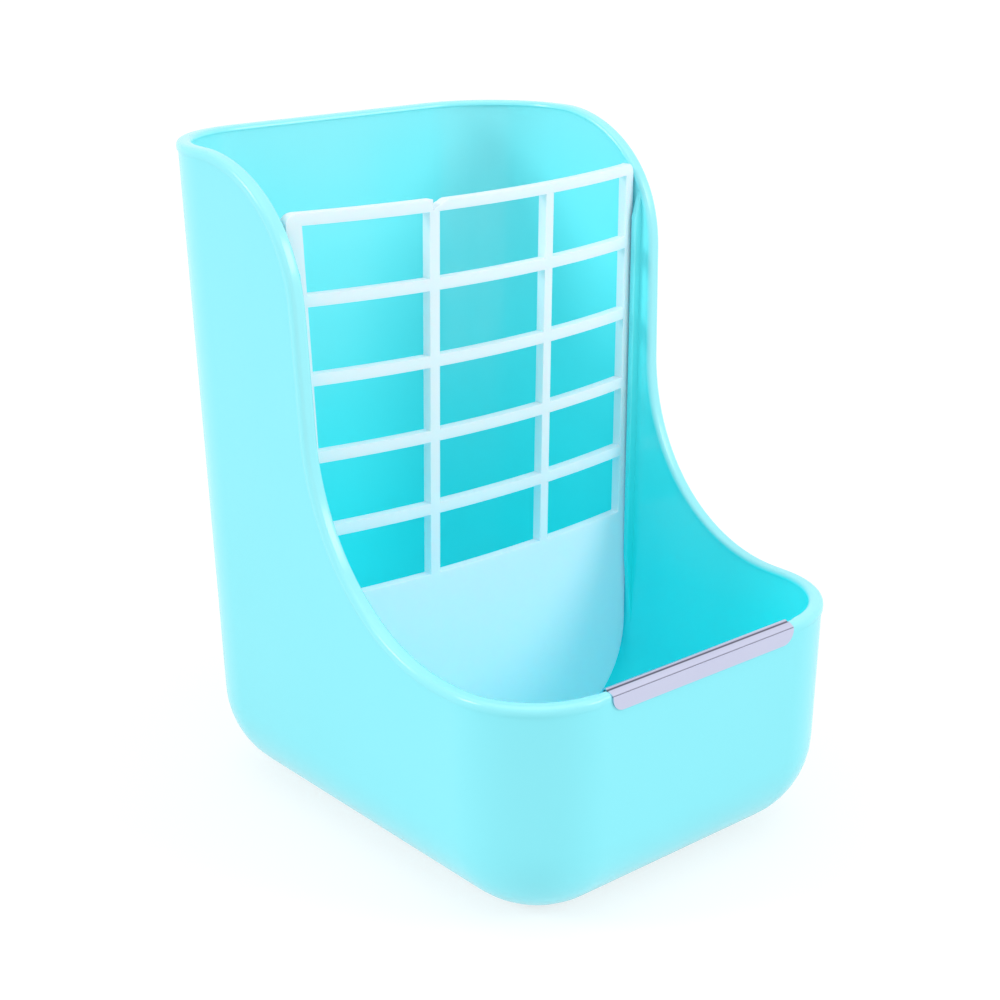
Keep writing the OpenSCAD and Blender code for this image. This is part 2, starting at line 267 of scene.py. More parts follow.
# Points that turn the line by less than this aren't needed
STRAIGHT = math.radians(0.2)
edit(air)
for end in (rim_path[0], rim_path[-1]):
    pick(air, "VERT", lambda point: (point.co - end).length < 0.01 * MM)
    bpy.ops.mesh.extrude_vertices_move(TRANSFORM_OT_translate={"value": (0, 0, BLANK_H + OVERRUN - end.z)})
bpy.ops.mesh.select_all(action="SELECT")
bpy.ops.mesh.edge_face_add()
bpy.ops.mesh.dissolve_limited(angle_limit=STRAIGHT)
bpy.ops.mesh.select_all(action="SELECT")
bpy.ops.transform.translate(value=(-FOOT_W, 0, 0))
bpy.ops.mesh.extrude_region_move(TRANSFORM_OT_translate={"value": (2 * FOOT_W, 0, 0)})
bpy.ops.mesh.select_all(action="SELECT")
bpy.ops.mesh.normals_make_consistent(inside=False)
apply_modifier(tub, "BOOLEAN", operation="DIFFERENCE", object=air, solver="EXACT")
bpy.data.objects.remove(air)
print("faces after the cut:", len(tub.data.polygons))

# %% Open the top
def cut_face(face):
    """A face that the cut made spans the width, above the bowl, and lies within the end walls."""
    place = face.calc_center_median()
    margin = 1 * MM
    return abs(place.x) < margin and abs(place.y) < half_d(place.z) - margin and place.z > BOWL_H / 2


edit(tub)
print(pick(tub, "FACE", cut_face), "cut faces taken out")
bpy.ops.mesh.delete(type="FACE")

# %% [markdown]
# ## The lip
# The rim is a little thicker than the wall, with soft edges that catch the light. Two insets along the open
# edge give the lip its foot, and Shrink/Fatten swells what is above it. Only the straight front wall stays as
# it is, because the metal strip needs that room. Solidify then gives the shell its wall: one vertex group
# makes the lip thicker, and two more are filled with the rim and the inside, to be found again later. A bevel
# rounds the lip.

# %% Swell the lip
LIP_H, LIP_FOOT = 2.2 * MM, 0.6 * MM
SKIN_INSIDE_SOLID, PAST_CORNER = 0.04 * MM, 1 * MM
SWELL = (LIP - WALL) / 2 - SKIN_INSIDE_SOLID
for depth in (LIP_H, LIP_FOOT):
    bpy.ops.mesh.select_mode(type="FACE")
    if depth == LIP_H:
        bpy.ops.mesh.select_all(action="SELECT")
    bpy.ops.mesh.inset(thickness=depth, use_boundary=depth == LIP_H, use_even_offset=True)
mesh = bmesh.from_edit_mesh(tub.data)
open_edge = {v for edge in mesh.edges if edge.is_boundary for v in edge.verts}
lip_band = {v for point in open_edge for face in point.link_faces for v in face.verts}


def under_guard(place):
    """The straight front wall, where the metal strip takes the room of the swelling."""
    return place.y < FRONT_R / 2 - half_d(BOWL_H) and abs(place.x) < half_w(BOWL_H) - FRONT_R + PAST_CORNER


pick(tub, "VERT", lambda point: point in lip_band and not under_guard(point.co))
bpy.ops.transform.shrink_fatten(value=SWELL, use_even_offset=False)
print(len(lip_band), "points in the lip")

# %% Give the shell its wall
bpy.ops.object.mode_set(mode="OBJECT")
lip_points = [v.index for v in tub.data.vertices if v.select]
wall_points = [v.index for v in tub.data.vertices if not v.select]
thickness = tub.vertex_groups.new(name="thickness")
thickness.add(lip_points, 1, "REPLACE")
thickness.add(wall_points, WALL / LIP, "REPLACE")
for name in ("rim", "inside"):
    tub.vertex_groups.new(name=name)
apply_modifier(tub, "SOLIDIFY", thickness=LIP, offset=-1, use_even_offset=True, use_quality_normals=True,
               vertex_group="thickness", rim_vertex_group="rim", shell_vertex_group="inside")
print("wall", WALL / MM, "and lip", LIP / MM, "millimetres thick")

# %% Round the lip
LIP_ROUND, LIP_STEPS = 1.3 * MM, 5
edit(tub)
weights = bmesh.from_edit_mesh(tub.data).verts.layers.deform.verify()
rim_index = tub.vertex_groups["rim"].index


def on_rim(face):
    return all(rim_index in point[weights] and point[weights][rim_index] > 0.5 for point in face.verts)


print(pick(tub, "FACE", on_rim), "faces on the rim")
bpy.ops.mesh.region_to_loop()
bpy.ops.mesh.bevel(offset=LIP_ROUND, segments=LIP_STEPS, affect="EDGES")

# The floor's upper skin is raised, because the floor is a little thicker than the walls
FLAT_REACH = 0.1 * MM
pick(tub, "VERT", lambda point: near(point.co.z, WALL, FLAT_REACH))
bpy.ops.transform.translate(value=(0, 0, FLOOR - WALL))

# %% [markdown]
# ## Guide ribs and bosses
# Inside each side wall two upright ribs hold the grid's edge, and the grid leans back 1.4 degrees between
# them. The front rib follows the grid's bow. A rib is a slice that is extruded up from level to level, which
# lets it lean and fade into the wall at both ends. On the back wall a round boss stands behind each stud.

# %% The grid's frame
GRID_Y, GRID_LEAN, GRID_TOP = 10.8 * MM, math.radians(1.4), 167.3 * MM
GRID_T, GRID_GAP, GRID_BOW, GRID_FOOT_BOW = 3 * MM, 0.4 * MM, 10 * MM, 1.5 * MM
GRID_SEAT = 0.3 * MM
GRID_FOOT = FLOOR + GRID_SEAT
GRID_H = (GRID_TOP - GRID_FOOT) / math.cos(GRID_LEAN)
print(f"the grid is {GRID_H / MM:.1f} millimetres high along its own face")


def grid_half_w(v):
    """Half the grid's width at a height up its own face."""
    return half_w(GRID_FOOT + v * math.cos(GRID_LEAN)) - WALL / 2 - LIP / 2 - GRID_GAP


def into_grid_frame(piece):
    return settle(piece, (0, GRID_Y, GRID_FOOT), (-GRID_LEAN, 0, 0))


# %% Ribs
RIB_T, RIB_REACH, RIB_GAP, RIB_ROUND = 1.8 * MM, 2.2 * MM, 0.2 * MM, 0.3 * MM
RIB_DROP, RIB_FOOT, RIB_TAPER, RIB_FADE = 0.6 * MM, 28.6 * MM, 8 * MM, 25 * MM
SLICE, SUNK = 1 * MM, 0.2 * MM


def bow_at(v):
    """How far the grid's middle stands forward at a height up its face."""
    return GRID_FOOT_BOW + (GRID_BOW - GRID_FOOT_BOW) * v / GRID_H


def guide_rib(side, way):
    """A rib in the grid's frame, behind the grid's edge or before it, where it follows the bow. It leans out
    with the wall, and both its ends fade into the wall."""
    def middle_y(v):
        bowed = 0 if way > 0 else RIB_REACH * 2 * bow_at(v) / grid_half_w(v)
        return way * (GRID_T / 2 + RIB_GAP + bowed + RIB_T / 2)

    def inner_x(v):
        return half_w(GRID_FOOT + v) - WALL / 2 - deep

    lean = (GRID_TOP - GRID_FOOT) * math.sin(GRID_LEAN)
    top = rim_height(GRID_Y + middle_y(GRID_H) - RIB_T / 2 + lean) - RIB_DROP - GRID_FOOT
    levels = (RIB_FOOT - GRID_FOOT, RIB_FOOT - GRID_FOOT + RIB_FADE, top - RIB_TAPER, top)
    deep = RIB_REACH + WALL / 2
    place = (side * (inner_x(levels[0]) + deep / 2), middle_y(levels[0]), levels[0] - SLICE / 2)
    bpy.ops.mesh.primitive_cube_add(size=1, location=place, scale=(deep, RIB_T, SLICE))
    rib = take("guide_rib")
    edit(rib)
    for low, high in zip(levels, levels[1:]):
        pick(rib, "FACE", lambda face: face.normal.z > 0.9)
        rise = (side * (inner_x(high) - inner_x(low)), middle_y(high) - middle_y(low), high - low)
        bpy.ops.mesh.extrude_region_move(TRANSFORM_OT_translate={"value": rise})
    for level in (levels[0] - SLICE, levels[0], levels[-1]):
        half_way = inner_x(level) + deep / 2
        pick(rib, "VERT", lambda point: near(point.co.z, level) and side * point.co.x < half_way)
        bpy.ops.transform.translate(value=(side * (RIB_REACH + SUNK), 0, 0))
    soften(rib, RIB_ROUND, 30)
    rib.vertex_groups.new(name="inside").add(range(len(rib.data.vertices)), 1, "REPLACE")
    return into_grid_frame(rib)


begin()
ribs = [guide_rib(side, way) for side in (-1, 1) for way in (-1, 1)]
print(len(ribs), "ribs")

# %% Bosses
STUD_X, STUD_Z, STUD_D, STUD_FREE = 25 * MM, 140 * MM, 5 * MM, 22 * MM
BOSS_D, BOSS_H, BOSS_ROUND, BORE_GAP, BORE_SHOWN = 16 * MM, 2.5 * MM, 0.7 * MM, 0.05 * MM, 1 * MM


def onto_stud(piece, side, back=0):
    """Turns a piece that was drawn along Z to point backwards, from the boss's face or further back."""
    return settle(piece, (side * STUD_X, half_d(STUD_Z) + BOSS_H + back, STUD_Z), (-math.pi / 2, 0, 0))


def boss(side):
    """A round with a bevelled edge and a bore in its face."""
    deep = BOSS_H + WALL / 2
    bpy.ops.mesh.primitive_cylinder_add(vertices=64, radius=BOSS_D / 2, depth=deep,
                                        location=(0, 0, -deep / 2))
    round_boss = take("boss")
    edit(round_boss)
    pick(round_boss, "FACE", lambda face: face.normal.z > 0.9)
    bpy.ops.mesh.bevel(offset=BOSS_ROUND, segments=3, affect="EDGES")
    pick(round_boss, "FACE", lambda face: face.normal.z > 0.9 and len(face.verts) > 8)
    bpy.ops.mesh.inset(thickness=BOSS_D / 2 - BOSS_ROUND - STUD_D / 2 - BORE_GAP)
    bpy.ops.mesh.extrude_region_move(TRANSFORM_OT_translate={"value": (0, 0, -BORE_SHOWN)})
    return onto_stud(round_boss, side)


bosses = [boss(side) for side in (-1, 1)]
print(len(bosses), "bosses")

# %% [markdown]
# ### Marks for painted shade and highlight
# The inside takes painted shade and the lip a painted highlight, in tones other than the outside's. A
# material can't read a vertex group, so two attributes are filled from the groups: one marks the inner skin
# with its ribs, the other the lip.

# %% Join the tub and mark its skins
join(tub, *ribs, *bosses)
inner_index, rim_index = (tub.vertex_groups[name].index for name in ("inside", "rim"))
# These attributes carry painted light: painted shade on the inner skin and a painted highlight on the lip
for name in ("shaded_inner_skin", "highlit_lip_skin"):
    tub.data.attributes.new(name, "FLOAT", "POINT")
shaded_inner_skin, highlit_lip_skin = (tub.data.attributes[name].data for name in ("shaded_inner_skin", "highlit_lip_skin"))
for point, inner, lip in zip(tub.data.vertices, shaded_inner_skin, highlit_lip_skin):
    held = {entry.group: entry.weight for entry in point.groups}
    lip.value = held.get(rim_index, 0)
    inner.value = held.get(inner_index, 0) * (1 - lip.value)
inside_count, lip_count = (sum(mark.value > 0.5 for mark in skin) for skin in (shaded_inner_skin, highlit_lip_skin))
print(inside_count, "points inside the tub and", lip_count, "on its lip")
tub.data.validate()
smooth(tub)
print("tub:", len(tub.data.polygons), "faces")

# %% [markdown]
# ## The hay grid
# The grid is one moulded panel: a plain sheet at its foot, three columns of five windows above, and a bow
# towards the bowl that grows towards its top. It starts as a flat sheet that bisect cuts into bars and
# windows. Solidify gives its thickness, a bevel its soft edges, and Displace pushes its middle forward by a
# painted weight.

# %% Cut the sheet's outline
COLUMNS, ROWS = 3, 5
SHEET_TOP, BAR_W, BAR_H, BORDER_W, BAR_SPREAD = 66.4 * MM, 2.9 * MM, 3.1 * MM, 3.8 * MM, 1.08
TOP_CORNER_R, FOOT_CORNER_R = 3 * MM, 28 * MM
bpy.ops.mesh.primitive_plane_add(size=1, location=(0, 0, GRID_H / 2), rotation=(math.pi / 2, 0, 0))
bpy.context.view_layer.objects.active.scale = (2 * grid_half_w(0), GRID_H, 1)
grid = take("bowed_hay_grid")
edit(grid)
pick(grid, "VERT", lambda point: near(point.co.z, GRID_H))
bpy.ops.transform.resize(value=(grid_half_w(GRID_H) / grid_half_w(0), 1, 1))
bpy.ops.mesh.bevel(offset=TOP_CORNER_R, segments=5, affect="VERTICES")
pick(grid, "VERT", lambda point: near(point.co.z, 0))
bpy.ops.mesh.bevel(offset=FOOT_CORNER_R, segments=18, affect="VERTICES")
print(f"sheet {2 * grid_half_w(0) / MM:.1f} wide at its foot, {2 * grid_half_w(GRID_H) / MM:.1f} at its top")

# %% Cut its bars and windows
CUT_SNAP = 0.001 * MM
bar_pitch = BAR_SPREAD * 2 * grid_half_w(0) / COLUMNS
bars = [(i - COLUMNS / 2) * bar_pitch for i in range(1, COLUMNS)]
window_pitch = (GRID_TOP - SHEET_TOP) / ROWS / math.cos(GRID_LEAN)
first_window = (SHEET_TOP - GRID_FOOT) / math.cos(GRID_LEAN)
taper = (grid_half_w(GRID_H) - grid_half_w(0)) / GRID_H


def cut(place, normal):
    bpy.ops.mesh.select_all(action="SELECT")
    bpy.ops.mesh.bisect(plane_co=place, plane_no=normal, threshold=CUT_SNAP)


bar_edges = [x + way * BAR_W / 2 for x in bars for way in (-1, 1)]
row_edges = [first_window + r * window_pitch + up for r in range(ROWS) for up in (0, window_pitch - BAR_H)]
for x in bar_edges:
    cut((x, 0, 0), (1, 0, 0))
for side in (-1, 1):
    cut((side * (grid_half_w(0) - BORDER_W), 0, 0), (1, 0, -side * taper))
for v in row_edges:
    cut((0, 0, v), (0, 0, 1))
print(len(bar_edges), "upright cuts and", len(row_edges), "level cuts")

# %% Cut it finer, so that it can bow
FINE, SHEET_STEPS = 4 * MM, 7
steps = round(2 * grid_half_w(GRID_H) / FINE)
for i in range(1, steps):
    x = grid_half_w(GRID_H) * (2 * i / steps - 1)
    if min(abs(x - edge) for edge in bar_edges) > FINE / 4:
        cut((x, 0, 0), (1, 0, 0))
for i in range(1, SHEET_STEPS):
    cut((0, 0, first_window * i / SHEET_STEPS), (0, 0, 1))
print("cells:", len(bmesh.from_edit_mesh(grid.data).faces))

# %% Take the windows out
def in_window(face):
    """Above the plain sheet, clear of the level bars, the upright bars and the borders."""
    place = face.calc_center_median()
    up = place.z - first_window
    clear_of_bars = all(abs(place.x - x) > BAR_W / 2 for x in bars)
    clear_of_border = abs(place.x) < grid_half_w(0) + place.z * taper - BORDER_W
    return up > 0 and up % window_pitch < window_pitch - BAR_H and clear_of_bars and clear_of_border


print(pick(grid, "FACE", in_window), "cells taken out for the windows")
bpy.ops.mesh.delete(type="FACE")

# %% [markdown]
# ### The notch in the top rail
# Over the left bar the top rail has a nick with an upright side and a sloping one, and right of it the rail
# is a hair lower. The nick is larger than the solid's, as the photograph shows it. Bisect cuts only what is
# selected, so both cuts stay inside the top rail.

# %% Cut the notch
NOTCH_OFF, NOTCH_W, NOTCH_D, RAIL_STEP = 0.5 * MM, 4.6 * MM, 2.7 * MM, 0.3 * MM
NOTCH_X = bars[0] - NOTCH_OFF


def in_top_rail(face):
    return middle(face).z > GRID_H - BAR_H


for normal in ((1, 0, 0), (-NOTCH_D, 0, NOTCH_W)):
    pick(grid, "FACE", in_top_rail)
    bpy.ops.mesh.bisect(plane_co=(NOTCH_X, 0, GRID_H - NOTCH_D), plane_no=normal, threshold=CUT_SNAP)


def in_notch(face):
    place = face.calc_center_median()
    across = place.x - NOTCH_X
    return 0 < across < NOTCH_W and place.z > GRID_H - NOTCH_D + across * NOTCH_D / NOTCH_W


print(pick(grid, "FACE", in_notch), "cells in the notch")
bpy.ops.mesh.delete(type="FACE")
pick(grid, "VERT", lambda point: near(point.co.z, GRID_H) and point.co.x > NOTCH_X + 0.1 * MM)
bpy.ops.transform.translate(value=(0, 0, -RAIL_STEP))

# %% Thicken, round and bow it
GRID_ROUND = 0.5 * MM
apply_modifier(grid, "SOLIDIFY", thickness=GRID_T, offset=0)
soften(grid, GRID_ROUND)
bow = grid.vertex_groups.new(name="bow")
for point in grid.data.vertices:
    share = point.co.x / grid_half_w(point.co.z)
    bow.add([point.index], max(0, bow_at(point.co.z) / GRID_BOW * (1 - share * share)), "REPLACE")
apply_modifier(grid, "DISPLACE", direction="Y", strength=-GRID_BOW, mid_level=0, vertex_group="bow")
into_grid_frame(grid)
smooth(grid)
print("grid:", len(grid.data.polygons), "faces")

# %% [markdown]
# ## The rim guard
# A strip of thin sheet metal is folded over the bowl's front rim. It is drawn as one flange, pulled over the
# rim and down inside by extruding its edge. The fold towards the front is a slope with a scored line along
# each side, as the press leaves it. Each line is an edge that is bevelled and pushed in, and its points are
# marked, so that the finish darkens them with painted shade. Solidify gives the sheet its gauge.

# %% Fold the strip
GUARD_T, GUARD_GAP = 0.42 * MM, 0.05 * MM
guard_side = WALL / 2 + GUARD_GAP + GUARD_T / 2
guard_top = LIP / 2 + GUARD_GAP + GUARD_T / 2
GUARD_SET_IN = 1.8 * MM
guard_half = half_w(BOWL_H) - FRONT_R - GUARD_SET_IN
FRONT_FOOT, INNER_FOOT = -2.88 * MM, -1.88 * MM
flange = guard_top - FRONT_FOOT
bpy.ops.mesh.primitive_plane_add(size=1, location=(0, -guard_side, FRONT_FOOT + flange / 2),
                                 rotation=(math.pi / 2, 0, 0))
bpy.context.view_layer.objects.active.scale = (2 * guard_half, flange, 1)
guard = take("folded_rim_guard")
edit(guard)
pick(guard, "EDGE", lambda edge: near(middle(edge).z, guard_top))
bpy.ops.mesh.extrude_edges_move(TRANSFORM_OT_translate={"value": (0, 2 * guard_side, 0)})
bpy.ops.mesh.extrude_edges_move(TRANSFORM_OT_translate={"value": (0, 0, INNER_FOOT - guard_top)})
print(f"strip {2 * guard_half / MM:.1f} long and {flange / MM:.1f} deep in front, in millimetres")

# %% Round its corners and folds
FRONT_CORNER_R, INNER_CORNER_R, INNER_FOLD_R, CORNER_FACETS = 3.5 * MM, 2 * MM, 1.1 * MM, 8
SLOPE_H, SLOPE_START = 1 * MM, 0.1 * MM
for foot, radius in ((FRONT_FOOT, FRONT_CORNER_R), (INNER_FOOT, INNER_CORNER_R)):
    pick(guard, "VERT", lambda point: near(point.co.z, foot))
    bpy.ops.mesh.bevel(offset=radius, segments=CORNER_FACETS, affect="VERTICES")
pick(guard, "EDGE", lambda edge: near(middle(edge).z, guard_top) and near(middle(edge).y, guard_side))
bpy.ops.mesh.bevel(offset=INNER_FOLD_R, segments=5, affect="EDGES")
pick(guard, "EDGE", lambda edge: near(middle(edge).z, guard_top) and near(middle(edge).y, -guard_side))
bpy.ops.mesh.bevel(offset=SLOPE_H, segments=1, affect="EDGES")
pick(guard, "VERT", lambda point: near(point.co.z, guard_top) and near(point.co.y, SLOPE_H - guard_side))
bpy.ops.transform.translate(value=(0, SLOPE_START + guard_side - SLOPE_H, 0))
print("strip:", len(bmesh.from_edit_mesh(guard.data).faces), "faces before it is scored")

# %% Score the lines where it was pressed
scored = guard.vertex_groups.new(name="score")
# The way into the sheet, about square to the slope
SCORE_Y, SCORE_Z = 0.5, -0.87
# Each line has its place, its half width, its depth and how dark its painted shade is
score_lines = [
    (SLOPE_START, guard_top, 0.6 * MM, 0.35 * MM, 1),
    (-guard_side, guard_top - SLOPE_H, 0.25 * MM, 0.2 * MM, 0.7),
]
for y, z, width, deep, dark in score_lines:
    edit(guard)
    pick(guard, "EDGE", lambda edge: near(middle(edge).z, z) and near(middle(edge).y, y))
    bpy.ops.mesh.bevel(offset=width, segments=2, affect="EDGES")
    found = pick(guard, "VERT", lambda point: math.hypot(point.co.y - y, point.co.z - z) < width / 2)
    bpy.ops.transform.translate(value=(0, SCORE_Y * deep, SCORE_Z * deep))
    bpy.ops.object.mode_set(mode="OBJECT")
    scored.add([v.index for v in guard.data.vertices if v.select], dark, "REPLACE")
    print(found, "points scored")

# %% Give the sheet its gauge
GUARD_ROUND = 0.12 * MM
apply_modifier(guard, "SOLIDIFY", thickness=GUARD_T, offset=0, use_even_offset=True)
soften(guard, GUARD_ROUND, 70, 2)
# The scored points get painted shade: the finish darkens them by this attribute
painted_crease_shade = guard.data.attributes.new("painted_crease_shade", "FLOAT", "POINT")
for point, mark in zip(guard.data.vertices, painted_crease_shade.data):
    mark.value = max((entry.weight for entry in point.groups), default=0)
lip_z = BOWL_H - LIP / 2
settle(guard, (0, WALL / 2 - half_d(lip_z), lip_z), (END_DRAFT, 0, 0))
smooth(guard)
print("guard:", len(guard.data.polygons), "faces")

# %% [markdown]
# ## The studs
# Each stud is a 5 mm rod with a thread of 0.8 mm pitch. The rod is a cylinder of the thread's root with a
# chamfered tip, and the thread is one small tooth that the Screw modifier winds up it.

# %% A threaded stud
PITCH, ROOT_R, CREST_R = 0.8 * MM, 2.08 * MM, 2.5 * MM
WALL_KEPT, TIP, TIP_ROUND = 1.6 * MM, 0.8 * MM, 0.45 * MM
SEAT = BOSS_H + WALL - WALL_KEPT
CREST_SHARE, PITCH_SHARE, ROOT_SUNK, TURN_STEPS = 0.16, 0.96, 0.05 * MM, 32
thread_turns = int((STUD_FREE - TIP) / PITCH) - 1


def stud_rod():
    length = STUD_FREE + SEAT
    begin()
    bpy.ops.mesh.primitive_cylinder_add(vertices=48, radius=ROOT_R, depth=length,
                                        location=(0, 0, STUD_FREE - length / 2))
    rod = take("stud_rod")
    edit(rod)
    pick(rod, "FACE", lambda face: face.normal.z > 0.9)
    bpy.ops.mesh.bevel(offset=TIP_ROUND, segments=2, affect="EDGES")
    return rod


def thread():
    """One tooth, whose foot lies inside the rod, wound up the rod."""
    begin()
    bpy.ops.mesh.primitive_plane_add(size=1, location=((ROOT_R + CREST_R) / 2, 0, 0),
                                     rotation=(math.pi / 2, 0, 0))
    bpy.context.view_layer.objects.active.scale = (CREST_R - ROOT_R, PITCH * PITCH_SHARE, 1)
    tooth = take("thread")
    edit(tooth)
    pick(tooth, "VERT", lambda point: near(point.co.x, CREST_R))
    bpy.ops.transform.resize(value=(1, 1, CREST_SHARE))
    pick(tooth, "VERT", lambda point: near(point.co.x, ROOT_R))
    bpy.ops.transform.translate(value=(-ROOT_SUNK, 0, 0))
    bpy.ops.mesh.select_all(action="SELECT")
    bpy.ops.mesh.delete(type="ONLY_FACE")
    apply_modifier(tooth, "SCREW", axis="Z", angle=2 * math.pi, screw_offset=PITCH, iterations=thread_turns,
                   steps=TURN_STEPS, render_steps=TURN_STEPS, use_smooth_shade=True)
    edit(tooth)
    bpy.ops.mesh.select_mode(type="EDGE")
    bpy.ops.mesh.select_all(action="DESELECT")
    bpy.ops.mesh.select_non_manifold(extend=False)
    bpy.ops.mesh.edge_face_add()
    bpy.ops.mesh.select_all(action="SELECT")
    bpy.ops.mesh.normals_make_consistent(inside=False)
    return settle(tooth, (0, 0, PITCH / 2))


left_stud = join(stud_rod(), thread())
left_stud.name = left_stud.data.name = "left_threaded_stud"
onto_stud(left_stud, -1)
smooth(left_stud)
right_stud = copied(left_stud, "right_threaded_stud", (2 * STUD_X, 0, 0))
print("stud:", len(left_stud.data.polygons), "faces and", thread_turns, "turns of thread")

# %% [markdown]
# ## The clamp discs
# A white disc on each stud presses the cage's wires against the boss. Its gripping face has a ring-shaped
# recess. A cylinder's two faces are inset round the bore and bridged, and the recess is an inset that is
# pushed in.

# %% A clamp disc
CLAMP_GAP, DISC_D, DISC_T, RECESS, LAND = 5 * MM, 26 * MM, 3 * MM, 0.8 * MM, 2.5 * MM
DISC_BORE, DISC_ROUND = STUD_D / 2 + 0.3 * MM, 0.35 * MM


def wide(face):
    """A level face that is a whole round, and not a piece of a ring."""
    return abs(face.normal.z) > 0.9 and len(face.verts) > 8


def bore_through(piece):
    """Takes out both round faces, and bridges the two edges that they leave."""
    bpy.ops.mesh.delete(type="FACE")
    pick(piece, "EDGE", lambda edge: edge.is_boundary)
    bpy.ops.mesh.bridge_edge_loops()


bpy.ops.mesh.primitive_cylinder_add(vertices=72, radius=DISC_D / 2, depth=DISC_T, location=(0, 0, DISC_T / 2))
left_disc = take("left_grip_disc")
edit(left_disc)
pick(left_disc, "FACE", lambda face: wide(face) and face.normal.z < 0)
bpy.ops.mesh.inset(thickness=LAND)
bpy.ops.mesh.inset(thickness=DISC_D / 2 - 2 * LAND - DISC_BORE)
pick(left_disc, "FACE", lambda face: face.normal.z < -0.9 and len(face.verts) == 4
     and middle(face).to_2d().length < DISC_D / 2 - LAND)
bpy.ops.mesh.extrude_region_move(TRANSFORM_OT_translate={"value": (0, 0, RECESS)})
pick(left_disc, "FACE", lambda face: wide(face) and face.normal.z > 0)
bpy.ops.mesh.inset(thickness=DISC_D / 2 - LAND - DISC_BORE)
pick(left_disc, "FACE", wide)
bpy.ops.mesh.inset(thickness=LAND, use_individual=True)
bore_through(left_disc)
soften(left_disc, DISC_ROUND)
onto_stud(left_disc, -1, CLAMP_GAP)
smooth(left_disc)
right_disc = copied(left_disc, "right_grip_disc", (2 * STUD_X, 0, 0))
print("disc:", len(left_disc.data.polygons), "faces")

# %% [markdown]
# ## The wing nuts
# A wing nut is a bored cone with two ears to turn it by. The cone is a cylinder with its top drawn in. An ear
# is a round whose inner half is pulled down to the cone, given a thickness, and softened all over by a bevel.

# %% The nut's body
NUT_D, NUT_TAPER, NUT_H, NUT_BORE = 11 * MM, 2 * MM, 6.5 * MM, STUD_D / 2 + 0.15 * MM
NUT_GAP, NUT_ROUND = 0.1 * MM, 0.4 * MM
NUT_BACK = CLAMP_GAP + DISC_T + NUT_GAP
bpy.ops.mesh.primitive_cylinder_add(vertices=64, radius=NUT_D / 2, depth=NUT_H, location=(0, 0, NUT_H / 2))
left_nut = take("left_turning_nut")
edit(left_nut)
pick(left_nut, "FACE", lambda face: face.normal.z > 0.9)
bpy.ops.transform.resize(value=((NUT_D - NUT_TAPER) / NUT_D, (NUT_D - NUT_TAPER) / NUT_D, 1))
pick(left_nut, "FACE", wide)
bpy.ops.mesh.inset(thickness=NUT_D / 2 - NUT_TAPER / 4 - NUT_BORE, use_individual=True)
print(pick(left_nut, "FACE", wide), "round faces taken out for the bore")
bore_through(left_nut)
soften(left_nut, NUT_ROUND)

# %% Its ears
WING_SPAN, WING_H, WING_R, WING_T = 26 * MM, 13 * MM, 4 * MM, 2 * MM
WING_IN, WING_FOOT_SHARE, WING_ROUND = 0.6 * MM, 0.55, 0.6 * MM
wing_end = Vector((0, WING_SPAN / 2 - WING_R, WING_H - WING_R))
wing_foot = Vector((0, NUT_D / 4 + WING_IN, NUT_H / 2))


def ear():
    """The round end, with the half that faces the nut pulled down to it."""
    bpy.ops.mesh.primitive_circle_add(vertices=40, radius=WING_R, fill_type="NGON",
                                      location=wing_end, rotation=(0, math.pi / 2, 0))
    wing = take("ear")
    inward = (wing_foot - wing_end).normalized()
    edit(wing)
    pick(wing, "EDGE", lambda edge: (middle(edge) - wing_end).dot(inward) > 0)
    bpy.ops.mesh.extrude_edges_move(TRANSFORM_OT_translate={"value": wing_foot - wing_end})
    bpy.ops.transform.resize(value=(1, WING_FOOT_SHARE, WING_FOOT_SHARE))
    bpy.ops.mesh.select_all(action="SELECT")
    bpy.ops.mesh.extrude_region_move(TRANSFORM_OT_translate={"value": (WING_T, 0, 0)})
    bpy.ops.mesh.select_all(action="SELECT")
    bpy.ops.transform.translate(value=(-WING_T / 2, 0, 0))
    bpy.ops.mesh.normals_make_consistent(inside=False)
    soften(wing, WING_ROUND)
    return wing


first_ear = ear()
second_ear = copied(first_ear, "second_ear", (0, 0, 0))
settle(second_ear, turn=(0, 0, math.pi))
join(left_nut, first_ear, second_ear)
onto_stud(left_nut, -1, NUT_BACK)
smooth(left_nut)
right_nut = copied(left_nut, "right_turning_nut", (2 * STUD_X, 0, 0))
print("nut:", len(left_nut.data.polygons), "faces")

# %% [markdown]
# ## What each piece rides on
# The tub, its guard and the studs move as one. The grid lifts out by itself, each disc slides on its stud,
# and each wing nut turns on it. Every drawn piece stands for one CAD node, which is then hidden.

# %% Ride and replace
riders = [
    (tub, "feeder", "feeder_box", "box_plastic"),
    (grid, "grid", "hay_grid", "grid_plastic"),
    (guard, "feeder", "edge_guard", "guard_metal"),
    (left_stud, "feeder", "left_stud", "fixing_metal"),
    (right_stud, "feeder", "right_stud", "fixing_metal"),
    (left_disc, "left_disc", "left_clamp_disc", "disc_plastic"),
    (right_disc, "right_disc", "right_clamp_disc", "disc_plastic"),
    (left_nut, "left_nut", "left_wing_nut", "fixing_metal"),
    (right_nut, "right_nut", "right_wing_nut", "fixing_metal"),
]
for piece, body, node, slot in riders:
    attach(piece, body)
    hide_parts(node)
    low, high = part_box(node)
    corners = [Vector(v.co) for v in piece.data.vertices]
    over = max(max(c[i] for c in corners) - high[i] for i in range(3))
    under = max(low[i] - min(c[i] for c in corners) for i in range(3))
    print(f"{piece.name}: stands {over / MM:.2f} over and {under / MM:.2f} under its solid, in millimetres")

# %% [markdown]
# ## Finishes
# Each finish is a small node tree on Object coordinates, so its pattern stays on the piece when it moves.
# Noise varies the colour and the gloss a little, as in a real moulding, and a bump of the same kind breaks
# reflections.

